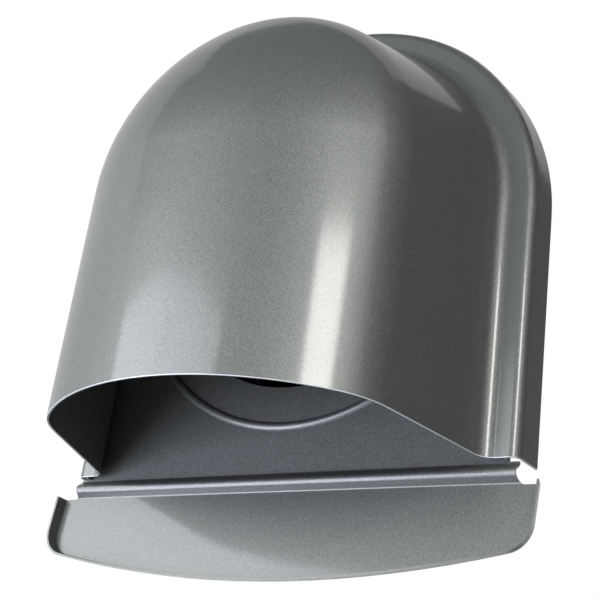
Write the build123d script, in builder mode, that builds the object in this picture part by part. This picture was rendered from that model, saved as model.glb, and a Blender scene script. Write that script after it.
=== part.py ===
"""Deep hood vent cap for a round duct: drawn hood, back plate with drip apron, and duct collar.

Frame: the origin is on the duct axis where the axis meets the wall plane. +Y goes into the wall,
+Z is up, and the hood stands out of the wall towards -Y. All sizes are in millimetres.
"""
import os
from math import cos, radians, sin, sqrt, tan

from build123d import *

# Sheet stock and fits
sheet = 0.6                    # thickness of the hood and of the back plate
collar_sheet = 0.5             # thickness of the duct collar
plate_clearance = 0.3          # gap between the plate's edge and the return around it

# Hood, in plan
return_half_width = 74.0       # half width at the wall
flange_half_width = 73.1       # half width at the flange's front edge
return_depth = 11.2            # from the wall to the flange's front face
hood_half_width = 63.5         # half width of the hood where it leaves the flange
hood_depth = 73.8              # from the wall to the nose
flank_draft = 16.0             # degrees that the flanks lean in towards the nose
cheek_radius = 23.0            # round between a flank and the nose
nose_radius = 71.7             # round of the nose
flange_bend = 3.0              # outside radius of the flange's front edge
neck_fillet = 4.5              # round between the flange and the hood

# Hood, in height
hood_drop = 74.4               # from the duct axis down to the flange's lower edge
mouth_rise = 3.2               # degrees that the mouth rises towards the nose

# Back plate
plate_set_back = 2.0           # from the back of the hood's flange to the front of the plate
ring_radius = 61.0             # middle of the round stiffening bead
ring_half_width = 1.4
strip_margin = 0.7             # flat strip between the hood's lower edge and the cross bead
bead_width = 5.1               # height of the cross bead, from the flat strip down to the fold
bead_peak = 2.7                # from the top of the cross bead down to its crown
bead_rise = 3.6                # how far the crown's corner stands in front of the plate
bead_crown = 1.5               # outside round of the crown
bead_foot = 0.8                # round where the bead leaves the strip
fold_round = 0.5               # round of the fold

# Drip apron
apron_tilt = 7.2               # degrees that the apron leans forward
apron_half_width = 77.9        # at the fold
apron_taper = 1.7              # degrees that its sides draw in
apron_drop = 26.0              # from the fold to the middle of its lower edge
apron_sag = 9.0                # bow of the lower edge
apron_corner = 7.4             # round of its lower corners
apron_side_gap = 0.4           # from the fold down to where the apron takes its full width
notch_width = 5.3              # from the apron's side to the end of the strip above it
notch_round = 2.0              # round in the corner of that notch
rim_height = 3.0               # rim that stands forward round the apron
rim_flare = 16.0               # degrees that the rim leans out

# Duct collar
collar_radius = 49.5           # outside, for a duct of 100 mm
collar_reach = 30.0            # how far it goes into the wall
collar_flange = 8.0            # width of the flange on the plate's back
collar_bend = 1.5              # inside round between the flange and the tube

# Worked out from the sizes above
plate_front = -return_depth + sheet + plate_set_back
plate_back = plate_front + sheet
plate_half_width = flange_half_width - flange_bend - plate_clearance
mouth_slope = tan(radians(mouth_rise))
strip_top = -hood_drop - plate_clearance
strip_half_width = apron_half_width - notch_width
bead_top = strip_top - strip_margin
fold_height = bead_top - bead_width
apron_lean = radians(apron_tilt)
apron_top = fold_height - apron_side_gap * cos(apron_lean)


def hood_section():
    """Draw the front face of the hood's half section in plan, from the wall to the nose."""
    draft = radians(flank_draft)
    nose_centre = hood_depth - nose_radius
    # The cheek's centre lies one cheek radius inside the flank and inside the nose round
    offset_line = hood_half_width + return_depth * tan(draft) - cheek_radius / cos(draft)
    a = 1 + tan(draft) ** 2
    b = -2 * (offset_line * tan(draft) + nose_centre)
    c = offset_line**2 + nose_centre**2 - (nose_radius - cheek_radius) ** 2
    cheek_depth = (-b + sqrt(b * b - 4 * a * c)) / (2 * a)
    cheek = Vector(offset_line - cheek_depth * tan(draft), -cheek_depth)
    flank_end = cheek + Vector(cos(draft), -sin(draft)) * cheek_radius
    nose = Vector(0, -nose_centre)
    out = (cheek - nose).normalized()
    nose_start = cheek + out * cheek_radius
    cheek_middle = cheek + (Vector(cos(draft), -sin(draft)) + out).normalized() * cheek_radius
    nose_middle = nose + (out + Vector(0, -1)).normalized() * nose_radius
    FilletPolyline(
        (return_half_width, 0),
        (flange_half_width, -return_depth),
        (hood_half_width, -return_depth),
        flank_end,
        radius=[flange_bend, neck_fillet],
    )
    ThreePointArc(flank_end, cheek_middle, nose_start)
    ThreePointArc(nose_start, nose_middle, (0, -hood_depth))


# Hood: one drawn sheet, with its flange and the return that meets the wall
with BuildPart() as hood:
    with BuildSketch(Plane.XY) as half_section:
        with BuildLine():
            hood_section()
            offset(amount=sheet, side=Side.RIGHT)
        make_face()
    revolve(axis=Axis((0, 0, 0), (0, -1, 0)), revolution_arc=180)
    with BuildSketch(Plane.XY):
        add(half_section.sketch)
        mirror(about=Plane.YZ)
    extrude(amount=-hood_drop)
    # The mouth rises from the flange's lower edge towards the nose
    with BuildSketch(Plane.YZ):
        with BuildLine():
            mouth_length = hood_depth - return_depth + sheet
            Polyline(
                (-return_depth, -hood_drop),
                (-return_depth - mouth_length, -hood_drop + mouth_length * mouth_slope),
                (-return_depth - mouth_length, -hood_drop),
                close=True,
            )
        make_face()
    extrude(amount=return_half_width, both=True, mode=Mode.SUBTRACT)
    # The return ends flat on the wall
    split(bisect_by=Plane.XZ, keep=Keep.TOP)

# Drip apron: a shallow tray below the fold, its rim standing forward and open at the top
fold = Plane(
    origin=(0, plate_front, fold_height),
    x_dir=(1, 0, 0),
    z_dir=(0, -cos(apron_lean), sin(apron_lean)),
)


def apron_outline():
    """Draw the apron's outline in the fold's plane, from above the fold round its lower edge."""
    bow_radius = (apron_half_width**2 + apron_sag**2) / (2 * apron_sag)
    draw_in = tan(radians(apron_taper))
    side_drop = apron_drop - apron_sag
    side_foot = apron_half_width - side_drop * draw_in
    head = apron_half_width + rim_height * draw_in
    Polyline((-side_foot, -side_drop), (-head, rim_height), (head, rim_height), (side_foot, -side_drop))
    RadiusArc((side_foot, -side_drop), (-side_foot, -side_drop), bow_radius)


with BuildPart() as apron:
    with BuildSketch(fold.offset(-sheet)):
        with BuildLine():
            apron_outline()
        make_face()
        fillet(vertices().group_by(Axis.Y)[0], radius=apron_corner)
        offset(amount=sheet / cos(radians(rim_flare)) - sheet * tan(radians(rim_flare)))
    extrude(amount=sheet + rim_height, taper=-rim_flare)
    with BuildSketch(fold):
        with BuildLine():
            apron_outline()
        make_face()
        fillet(vertices().group_by(Axis.Y)[0], radius=apron_corner)
    extrude(amount=2 * rim_height, taper=-rim_flare, mode=Mode.SUBTRACT)
    # The tray is open above the rim's upper ends
    tray_top = Plane(fold.from_local_coords((0, -apron_side_gap, 0)), z_dir=fold.y_dir)
    split(bisect_by=tray_top, keep=Keep.BOTTOM)

# Strip and cross bead: the sheet between the plate and the apron, notched at its ends
with BuildPart() as strip:
    lap = apron_side_gap + sheet
    with BuildSketch(Plane.YZ):
        with BuildLine():
            FilletPolyline(
                (plate_front, strip_top),
                (plate_front, bead_top),
                (plate_front - bead_rise, bead_top - bead_peak),
                (plate_front, fold_height),
                (plate_front - lap * sin(apron_lean), fold_height - lap * cos(apron_lean)),
                radius=[bead_foot, bead_crown, fold_round],
            )
            offset(amount=sheet, side=Side.LEFT)
        make_face()
    extrude(amount=strip_half_width + notch_round, both=True)
    with BuildSketch(Plane.XZ):
        with Locations((strip_half_width, apron_top)):
            Rectangle(notch_width, strip_top - apron_top, align=Align.MIN)
        fillet(vertices().sort_by(Axis.X)[:2].sort_by(Axis.Y)[0], radius=notch_round)
        mirror(about=Plane.YZ)
    extrude(amount=return_depth + bead_rise, both=True, mode=Mode.SUBTRACT)

# Back plate: one sheet with a turned edge, the duct hole, the beads and the apron
plate_plane = Plane(origin=(0, plate_back, 0), x_dir=(1, 0, 0), z_dir=(0, -1, 0))


def arch_outline(half_width, foot):
    """Draw an arch about the duct axis with straight sides down to a flat foot."""
    Polyline((half_width, 0), (half_width, foot), (-half_width, foot), (-half_width, 0))
    CenterArc((0, 0), half_width, 0, 180)


with BuildPart() as back_plate:
    with BuildSketch(plate_plane):
        with BuildLine():
            arch_outline(plate_half_width, strip_top - sheet)
        make_face()
        Circle(collar_radius - collar_sheet, mode=Mode.SUBTRACT)
    extrude(amount=sheet)
    # Its edge is turned forward and bears on the back of the hood's flange
    with BuildSketch(plate_plane):
        with BuildLine():
            arch_outline(plate_half_width, strip_top)
        make_face()
        with BuildLine():
            arch_outline(plate_half_width - sheet, strip_top)
        make_face(mode=Mode.SUBTRACT)
    extrude(amount=sheet + plate_set_back)
    add(strip.part)
    add(apron.part)
    # Ring bead, pressed forward out of the sheet
    for inset, mode in ((0, Mode.ADD), (sheet, Mode.SUBTRACT)):
        bead = ring_half_width - inset
        with BuildSketch(Plane.XY):
            with BuildLine():
                CenterArc((ring_radius, plate_back), bead, 180, 180)
                Line((ring_radius - bead, plate_back), (ring_radius + bead, plate_back))
            make_face()
        revolve(axis=Axis.Y, mode=mode)

# Duct collar: a tube that goes into the duct, with a flange on the back of the plate
with BuildPart() as duct_collar:
    with BuildSketch(Plane.XY):
        with BuildLine():
            FilletPolyline(
                (collar_radius + collar_flange, plate_back),
                (collar_radius - collar_sheet, plate_back),
                (collar_radius - collar_sheet, collar_reach),
                radius=collar_bend + collar_sheet,
            )
            offset(amount=collar_sheet, side=Side.RIGHT)
        make_face()
    revolve(axis=Axis.Y)

os.makedirs("parts", exist_ok=True)
for label, piece in (("hood", hood), ("back_plate", back_plate), ("duct_collar", duct_collar)):
    piece.part.label = label
    export_step(piece.part, f"parts/{label}.step")
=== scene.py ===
"""Looks of a deep hood vent cap: satin metallic paint, plain steel collar, and a white studio."""

import math

import bmesh
import bpy
from mathutils import Matrix, Vector


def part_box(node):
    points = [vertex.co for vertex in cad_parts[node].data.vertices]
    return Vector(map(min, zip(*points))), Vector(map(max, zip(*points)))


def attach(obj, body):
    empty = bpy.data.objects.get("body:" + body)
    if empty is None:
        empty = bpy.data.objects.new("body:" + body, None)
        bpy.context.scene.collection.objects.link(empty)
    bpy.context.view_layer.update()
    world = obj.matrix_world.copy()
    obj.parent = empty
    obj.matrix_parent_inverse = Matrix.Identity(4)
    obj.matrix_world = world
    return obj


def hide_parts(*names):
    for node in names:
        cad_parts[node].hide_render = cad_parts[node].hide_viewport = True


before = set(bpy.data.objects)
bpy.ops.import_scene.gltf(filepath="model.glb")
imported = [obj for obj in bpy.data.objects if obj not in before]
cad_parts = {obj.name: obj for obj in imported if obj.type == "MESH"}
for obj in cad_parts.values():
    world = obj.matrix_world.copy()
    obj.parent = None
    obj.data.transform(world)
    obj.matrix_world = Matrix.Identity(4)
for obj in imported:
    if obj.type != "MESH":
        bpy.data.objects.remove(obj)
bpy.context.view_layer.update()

bl_info = {
    "name": "Hood vent cap",
    "version": (1, 0, 0),
    "blender": (4, 5, 0),
    "location": "View3D > Sidebar > Vent cap",
    "description": "Finishes of a wall vent cap and the studio that shows it",
    "category": "Object",
}

# Smooth copies of the sheets
WELD_DISTANCE = 1e-6
SHARP_ANGLE = math.radians(35.0)
EDGE_SEGMENTS = 3
EDGE_MATERIAL = 1              # where the cut edges' material stands in a piece's list

# Finishes. A spread is the change of a value over the whole range of a noise
NOISE_MEAN = 0.5
FLAKE_SPREAD = 1.8
FLAKE_SHARE = 0.34             # mean share of the flakes in the paint's colour
FLAKE_ROUGHNESS_SPREAD = 0.16
DRIFT_ROUGHNESS_SPREAD = 0.10
EDGE_DULL_SHARE = 0.7          # darkest tone of a cut edge, as a share of its colour
EDGE_ROUGHNESS = 0.4
STEEL_DULL_SHARE = 0.72        # darkest tone of the steel, as a share of its colour
STEEL_ROUGHNESS = 0.42
WEAR_ROUGHNESS_SPREAD = 0.2    # on the cut edges and on the steel

# Studio
SENSOR_WIDTH = 36.0
NEAR_CLIP = 0.01
FLOOR_REACH = 4.0
FLOOR_COLOUR = (0.85, 0.85, 0.84)
MIDDLE = (0.0, -0.03, -0.02)   # middle of the part, which the cards and most lamps face
# Cards that the paint mirrors: name, centre, width, height, colour
FLAGS = (
    ("top_flag", (0.0, -0.52, 1.2), 1.9, 1.7, (0.42, 0.44, 0.45)),
    ("left_flag", (-0.9, -0.95, 1.1), 1.4, 0.9, (0.26, 0.28, 0.30)),
    ("right_flag", (0.75, 0.25, 0.35), 1.3, 1.4, (0.10, 0.11, 0.10)),
    ("front_wall", (0.15, -1.8, 0.9), 3.2, 2.2, (0.36, 0.36, 0.36)),
)
# Lamps: name, centre, target, width, height, power in watts, colour
LAMPS = (
    ("left_box", (-0.45, -0.765, 0.15), MIDDLE, 0.84, 0.32, 5.7, (0.92, 0.97, 1.0)),
    ("right_strip", (0.525, -0.67, 0.18), MIDDLE, 0.19, 0.34, 5.2, (1.0, 0.99, 0.97)),
    ("low_fill", (-0.43, -0.65, -0.35), (0.0, -0.01, -0.06), 0.7, 0.4, 7.8, (0.80, 0.81, 1.0)),
)
# Lamp that lies on the floor and lights the mouth
FLOOR_LAMP_PLACE = (-0.38, -0.29)
FLOOR_LAMP_LIFT = 0.02
FLOOR_LAMP = ((0.0, -0.02, -0.06), 0.36, 0.30, 3.4, (0.85, 0.87, 1.0))
# Card in the collar, painted near black: painted shade standing in for the dark inside of the
# duct
DUCT_OPENING = 0.852           # the collar's hole, as a share of its flange
DUCT_INSET = 0.001             # from the collar's end to the card
DUCT_CORNERS = 240
DUCT_SHADE_COLOUR = (0.004, 0.004, 0.004)


class Wire:
    """A shader socket that can be used in Python expressions."""

    def __init__(self, tree, socket):
        self.tree = tree
        self.socket = socket

    def _math(self, operation, *terms):
        return node(self.tree, "ShaderNodeMath", {"operation": operation}, dict(enumerate(terms)))

    def __add__(self, other):
        return self._math("ADD", self, other)

    def __sub__(self, other):
        return self._math("SUBTRACT", self, other)

    def __mul__(self, other):
        return self._math("MULTIPLY", self, other)

    def limit(self, low, high):
        return self._math("MINIMUM", self._math("MAXIMUM", self, low), high)


def connect(tree, made, sockets):
    """Link a node's sockets to wires, or fill them with values."""
    for name, value in sockets.items():
        if isinstance(value, Wire):
            tree.links.new(value.socket, made.inputs[name])
        else:
            made.inputs[name].default_value = value


def node(tree, kind, settings=None, sockets=None, out=0):
    """Add one node, set it up, fill or link its sockets, and return one of its outputs."""
    made = tree.nodes.new(kind)
    for name, value in (settings or {}).items():
        setattr(made, name, value)
    connect(tree, made, sockets or {})
    return Wire(tree, made.outputs[out])


def noise(tree, place, scale, detail, roughness):
    """Add a noise in space with a number of waves per metre."""
    return node(tree, "ShaderNodeTexNoise", {"noise_dimensions": "3D"},
                {"Vector": place, "Scale": scale, "Detail": detail, "Roughness": roughness})


def spread(pattern, amount):
    """Turn a noise into a change about zero."""
    return (pattern - NOISE_MEAN) * amount


def blend(tree, share, first, second):
    """Mix two colours by a share."""
    return node(tree, "ShaderNodeMix", {"data_type": "RGBA"},
                {0: share, 6: (*first, 1.0), 7: (*second, 1.0)}, out=2)


def new_material(name):
    """Make a node material with only a surface shader, and return its tree and shader too."""
    material = bpy.data.materials.new(name)
    material.use_nodes = True
    tree = material.node_tree
    tree.nodes.clear()
    shader = tree.nodes.new("ShaderNodeBsdfPrincipled")
    output = tree.nodes.new("ShaderNodeOutputMaterial")
    tree.links.new(shader.outputs[0], output.inputs["Surface"])
    return material, tree, shader


def dress(object_, *materials):
    """Give a piece its materials. The first goes on all its faces."""
    object_.data.materials.clear()
    for material in materials:
        object_.data.materials.append(material)


def finished_copy(name, face, edge, soft_edge):
    """Stand a smooth copy of a sheet with softly broken edges in the place of its plain form."""
    mesh = bpy.data.meshes.new(name + "_sheet")
    shape = bmesh.new()
    shape.from_mesh(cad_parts[name].data)
    bmesh.ops.remove_doubles(shape, verts=shape.verts, dist=WELD_DISTANCE)
    bmesh.ops.dissolve_degenerate(shape, edges=shape.edges, dist=WELD_DISTANCE)
    shape.to_mesh(mesh)
    shape.free()
    mesh.shade_smooth()
    mesh.set_sharp_from_angle(angle=SHARP_ANGLE)
    piece = bpy.data.objects.new(name + "_sheet", mesh)
    bpy.context.scene.collection.objects.link(piece)
    bevel = piece.modifiers.new("soft_edge", "BEVEL")
    bevel.width = soft_edge
    bevel.segments = EDGE_SEGMENTS
    bevel.limit_method = "ANGLE"
    bevel.angle_limit = SHARP_ANGLE
    # The bevelled edge faces get the edge material, whose light colour is partly a painted
    # highlight.
    bevel.material = EDGE_MATERIAL
    even = piece.modifiers.new("even_shading", "WEIGHTED_NORMAL")
    even.mode = "FACE_AREA"
    even.keep_sharp = True
    dress(piece, face, edge)
    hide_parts(name)
    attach(piece, "root")


class VentCapPaint(bpy.types.PropertyGroup):
    """Finish of the painted sheets."""

    colour: bpy.props.FloatVectorProperty(
        name="Paint colour", description="Colour of the metallic paint", subtype="COLOR",
        default=(0.088, 0.096, 0.089), min=0.0, max=1.0)
    flake_colour: bpy.props.FloatVectorProperty(
        name="Flake colour", description="Colour of the bright flakes in the paint",
        subtype="COLOR", default=(0.22, 0.222, 0.212), min=0.0, max=1.0)
    flake_size: bpy.props.FloatProperty(
        name="Flake size", description="Width of the flakes' grain", default=0.00035, min=0.0001,
        unit="LENGTH", precision=5)
    roughness: bpy.props.FloatProperty(
        name="Roughness", description="Mean roughness of the paint", subtype="FACTOR",
        default=0.52, min=0.0, max=1.0)
    # Light colour of the cut edges: partly bare metal, partly a painted highlight along the
    # edges.
    edge_metal_and_highlight_colour: bpy.props.FloatVectorProperty(
        name="Edge colour", description="Colour of the sheet's cut edges", subtype="COLOR",
        default=(0.60, 0.62, 0.63), min=0.0, max=1.0)
    soft_edge: bpy.props.FloatProperty(
        name="Soft edge", description="Width of the round on a cut edge", default=0.00024,
        min=0.0, unit="LENGTH", precision=5)


class VentCapSteel(bpy.types.PropertyGroup):
    """Finish of the bare collar."""

    colour: bpy.props.FloatVectorProperty(
        name="Steel colour", description="Colour of the bare sheet", subtype="COLOR",
        default=(0.50, 0.50, 0.48), min=0.0, max=1.0)
    grain_size: bpy.props.FloatProperty(
        name="Grain size", description="Width of the rolling marks", default=0.0012, min=0.0001,
        unit="LENGTH", precision=5)
    soft_edge: bpy.props.FloatProperty(
        name="Soft edge", description="Width of the round on a cut edge", default=0.0001, min=0.0,
        unit="LENGTH", precision=5)


class VentCapStudio(bpy.types.PropertyGroup):
    """Camera and floor. The camera looks at the duct axis from below, right of the front."""

    yaw: bpy.props.FloatProperty(
        name="Yaw", description="How far right of the front the camera stands", subtype="ANGLE",
        default=math.radians(34.09))
    pitch: bpy.props.FloatProperty(
        name="Pitch", description="How far above the level the camera stands", subtype="ANGLE",
        default=math.radians(-23.59))
    roll: bpy.props.FloatProperty(
        name="Roll", description="How far the camera is turned about its view", subtype="ANGLE",
        default=math.radians(8.07))
    distance: bpy.props.FloatProperty(
        name="Distance", description="From the camera to the duct axis at the wall",
        unit="LENGTH", default=0.40307)
    side_step: bpy.props.FloatProperty(
        name="Side step", description="How far the camera is moved to its right", unit="LENGTH",
        default=-0.00816)
    lift: bpy.props.FloatProperty(
        name="Lift", description="How far the camera is moved up in its own frame", unit="LENGTH",
        default=-0.01554)
    lens: bpy.props.FloatProperty(
        name="Lens", description="Focal length in millimetres", unit="CAMERA", default=77.54,
        min=1.0)
    floor_drop: bpy.props.FloatProperty(
        name="Floor drop", description="From the duct axis down to the floor", unit="LENGTH",
        default=0.60)


def metallic_paint(paint):
    """Satin grey paint: fine bright flakes, and a roughness that drifts a little."""
    material, tree, shader = new_material("metallic_paint")
    place = node(tree, "ShaderNodeTexCoord", out="Object")
    flakes = noise(tree, place, scale=1.0 / paint.flake_size, detail=2.0, roughness=0.7)
    drift = noise(tree, place, scale=28.0, detail=3.0, roughness=0.55)
    sparkle = (spread(flakes, FLAKE_SPREAD) + FLAKE_SHARE).limit(0.0, 1.0)
    unevenness = spread(drift, DRIFT_ROUGHNESS_SPREAD) + spread(flakes, FLAKE_ROUGHNESS_SPREAD)
    connect(tree, shader, {
        "Base Color": blend(tree, sparkle, paint.colour, paint.flake_colour),
        "Roughness": unevenness + paint.roughness,
        "Normal": node(tree, "ShaderNodeBump", None,
                       {"Strength": 0.04, "Distance": 0.0002, "Height": flakes}),
        "Metallic": 0.72,
        "Specular Tint": (0.55, 0.55, 0.55, 1.0),
        "Coat Weight": 0.5,
        "Coat Roughness": 0.12,
    })
    return material


def bare_edge_and_highlight(paint):
    """Cut edge of a painted sheet: its light colour is partly the bare metal where the paint is
    thin and partly a painted highlight along the edge.
    """
    material, tree, shader = new_material("bare_edge_and_highlight")
    place = node(tree, "ShaderNodeTexCoord", out="Object")
    wear = noise(tree, place, scale=220.0, detail=3.0, roughness=0.6)
    dull = tuple(EDGE_DULL_SHARE * c for c in paint.edge_metal_and_highlight_colour)
    connect(tree, shader, {
        "Base Color": blend(tree, wear, dull, paint.edge_metal_and_highlight_colour),
        "Roughness": spread(wear, WEAR_ROUGHNESS_SPREAD) + EDGE_ROUGHNESS,
        "Metallic": 0.3,
    })
    return material


def bare_steel(steel):
    """Plain rolled sheet with faint marks along the tube."""
    material, tree, shader = new_material("bare_steel")
    place = node(tree, "ShaderNodeTexCoord", out="Object")
    along = node(tree, "ShaderNodeMapping", None, {"Vector": place, "Scale": (1.0, 0.06, 1.0)})
    marks = noise(tree, along, scale=1.0 / steel.grain_size, detail=3.0, roughness=0.6)
    cloud = noise(tree, place, scale=55.0, detail=4.0, roughness=0.6)
    dull = tuple(STEEL_DULL_SHARE * c for c in steel.colour)
    unevenness = spread(marks, WEAR_ROUGHNESS_SPREAD) + spread(cloud, WEAR_ROUGHNESS_SPREAD)
    connect(tree, shader, {
        "Base Color": blend(tree, marks, dull, steel.colour),
        "Roughness": unevenness + STEEL_ROUGHNESS,
        "Metallic": 1.0,
    })
    return material


class VENTCAP_OT_painted_sheets(bpy.types.Operator):
    """Paint the hood and the back plate."""

    bl_idname = "vent_cap.painted_sheets"
    bl_label = "Painted sheets"

    def execute(self, context):
        paint = context.scene.vent_cap_paint
        face = metallic_paint(paint)
        edge = bare_edge_and_highlight(paint)
        for name in ("hood", "back_plate"):
            finished_copy(name, face, edge, paint.soft_edge)
        return {"FINISHED"}


class VENTCAP_OT_collar(bpy.types.Operator):
    """Finish the duct collar as bare sheet."""

    bl_idname = "vent_cap.collar"
    bl_label = "Duct collar"

    def execute(self, context):
        steel = context.scene.vent_cap_steel
        sheet = bare_steel(steel)
        finished_copy("duct_collar", sheet, sheet, steel.soft_edge)
        return {"FINISHED"}


def white_world(scene):
    """Light the scene from a soft world that shows as white to the camera and in reflections."""
    world = bpy.data.worlds.new("studio")
    scene.world = world
    world.use_nodes = True
    tree = world.node_tree
    tree.nodes.clear()
    rays = tree.nodes.new("ShaderNodeLightPath").outputs
    seen = Wire(tree, rays["Is Camera Ray"])
    glossy = Wire(tree, rays["Is Glossy Ray"])
    through = Wire(tree, rays["Is Transmission Ray"])
    white = node(tree, "ShaderNodeBackground", None, {"Color": (1, 1, 1, 1), "Strength": 1.0})
    soft = node(tree, "ShaderNodeBackground", None,
                {"Color": (0.85, 0.92, 1.0, 1), "Strength": 0.48})
    shown = (seen + glossy + through).limit(0.0, 1.0)
    mix = node(tree, "ShaderNodeMixShader", None, {0: shown, 1: soft, 2: white})
    output = tree.nodes.new("ShaderNodeOutputWorld")
    tree.links.new(mix.socket, output.inputs["Surface"])


def plain_card(name, corners, colour, shown):
    """Make a flat card of the studio from its corners."""
    mesh = bpy.data.meshes.new(name)
    mesh.from_pydata([tuple(c) for c in corners], [], [tuple(range(len(corners)))])
    card = bpy.data.objects.new(name, mesh)
    bpy.context.scene.collection.objects.link(card)
    material, tree, shader = new_material(name)
    connect(tree, shader, {
        "Base Color": (*colour, 1.0),
        "Roughness": 0.9,
        "Specular IOR Level": 0.1,
    })
    dress(card, material)
    card.visible_camera = shown
    return card


def rectangle(width, height):
    """Give the corners of a rectangle about the origin."""
    x, y = width / 2, height / 2
    return [(-x, -y), (x, -y), (x, y), (-x, y)]


def facing_card(name, centre, target, width, height, colour):
    """Make a card that faces a target and isn't seen by the camera."""
    centre = Vector(centre)
    turn = (Vector(target) - centre).to_track_quat("Z", "Y").to_matrix()
    corners = [centre + turn @ Vector((x, y, 0.0)) for x, y in rectangle(width, height)]
    plain_card(name, corners, colour, False)


def soft_box(name, centre, target, width, height, power, colour):
    """Hang an area lamp that faces a target and isn't seen by the camera."""
    lamp = bpy.data.lights.new(name, "AREA")
    lamp.shape = "RECTANGLE"
    lamp.size = width
    lamp.size_y = height
    lamp.energy = power
    lamp.color = colour
    holder = bpy.data.objects.new(name, lamp)
    holder.location = centre
    holder.rotation_euler = (Vector(target) - Vector(centre)).to_track_quat("-Z", "Y").to_euler()
    holder.visible_camera = False
    bpy.context.scene.collection.objects.link(holder)


class VENTCAP_OT_studio(bpy.types.Operator):
    """Set up the floor, the light and the camera."""

    bl_idname = "vent_cap.studio"
    bl_label = "Studio"

    def execute(self, context):
        scene = context.scene
        studio = scene.vent_cap_studio
        scene.view_settings.view_transform = "Standard"
        white_world(scene)
        floor_z = -studio.floor_drop
        floor = [(x, y, floor_z) for x, y in rectangle(2 * FLOOR_REACH, 2 * FLOOR_REACH)]
        plain_card("floor", floor, FLOOR_COLOUR, True)
        for name, centre, width, height, colour in FLAGS:
            facing_card(name, centre, MIDDLE, width, height, colour)
        for lamp in LAMPS:
            soft_box(*lamp)
        soft_box("floor_box", (*FLOOR_LAMP_PLACE, floor_z + FLOOR_LAMP_LIFT), *FLOOR_LAMP)
        self.painted_duct_shade()
        self.place_camera(scene, studio)
        return {"FINISHED"}

    def painted_duct_shade(self):
        """Stand a card painted near black in the collar's end: painted shade for the dark inside
        of the duct. From behind it is clear.
        """
        low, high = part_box("duct_collar")
        radius = 0.5 * (high[0] - low[0]) * DUCT_OPENING
        turns = [2.0 * math.pi * step / DUCT_CORNERS for step in range(DUCT_CORNERS)]
        depth = high[1] - DUCT_INSET
        corners = [(radius * math.cos(t), depth, radius * math.sin(t)) for t in turns]
        card = plain_card("duct_shade_card", corners, DUCT_SHADE_COLOUR, True)
        tree = card.data.materials[0].node_tree
        shader = next(n for n in tree.nodes if n.type == "BSDF_PRINCIPLED")
        output = next(n for n in tree.nodes if n.type == "OUTPUT_MATERIAL")
        behind = node(tree, "ShaderNodeNewGeometry", out="Backfacing")
        clear = node(tree, "ShaderNodeBsdfTransparent")
        mix = node(tree, "ShaderNodeMixShader", None,
                   {0: behind, 1: Wire(tree, shader.outputs[0]), 2: clear})
        tree.links.new(mix.socket, output.inputs["Surface"])

    def place_camera(self, scene, studio):
        """Stand the camera at the view's angle, with its own right, up and back axes."""
        away = Vector((math.sin(studio.yaw) * math.cos(studio.pitch),
                       -math.cos(studio.yaw) * math.cos(studio.pitch), math.sin(studio.pitch)))
        level = Vector((math.cos(studio.yaw), math.sin(studio.yaw), 0.0))
        upright = away.cross(level)
        right = math.cos(studio.roll) * level + math.sin(studio.roll) * upright
        up = math.cos(studio.roll) * upright - math.sin(studio.roll) * level
        place = away * studio.distance + right * studio.side_step + up * studio.lift
        data = bpy.data.cameras.new("camera")
        data.sensor_width = SENSOR_WIDTH
        data.lens = studio.lens
        data.clip_start = NEAR_CLIP
        camera = bpy.data.objects.new("camera", data)
        turn = Matrix((right, up, away)).transposed().to_4x4()
        camera.matrix_world = Matrix.Translation(place) @ turn
        scene.collection.objects.link(camera)
        scene.camera = camera


class VENTCAP_PT_panel(bpy.types.Panel):
    """Lists the operators and their sizes and colours."""

    bl_label = "Vent cap"
    bl_idname = "VENTCAP_PT_panel"
    bl_space_type = "VIEW_3D"
    bl_region_type = "UI"
    bl_category = "Vent cap"

    def draw(self, context):
        for group in GROUPS:
            values = getattr(context.scene, group)
            for name in values.__annotations__:
                self.layout.prop(values, name)
        for operator in OPERATORS:
            self.layout.operator(operator.bl_idname)


GROUPS = {
    "vent_cap_paint": VentCapPaint,
    "vent_cap_steel": VentCapSteel,
    "vent_cap_studio": VentCapStudio,
}
OPERATORS = (VENTCAP_OT_painted_sheets, VENTCAP_OT_collar, VENTCAP_OT_studio)


def register():
    for name, group in GROUPS.items():
        bpy.utils.register_class(group)
        setattr(bpy.types.Scene, name, bpy.props.PointerProperty(type=group))
    for item in (*OPERATORS, VENTCAP_PT_panel):
        bpy.utils.register_class(item)


def unregister():
    for item in reversed((*OPERATORS, VENTCAP_PT_panel)):
        bpy.utils.unregister_class(item)
    for name, group in GROUPS.items():
        delattr(bpy.types.Scene, name)
        bpy.utils.unregister_class(group)


def main():
    register()
    bpy.ops.vent_cap.painted_sheets()
    bpy.ops.vent_cap.collar()
    bpy.ops.vent_cap.studio()


if __name__ == "__main__":
    main()
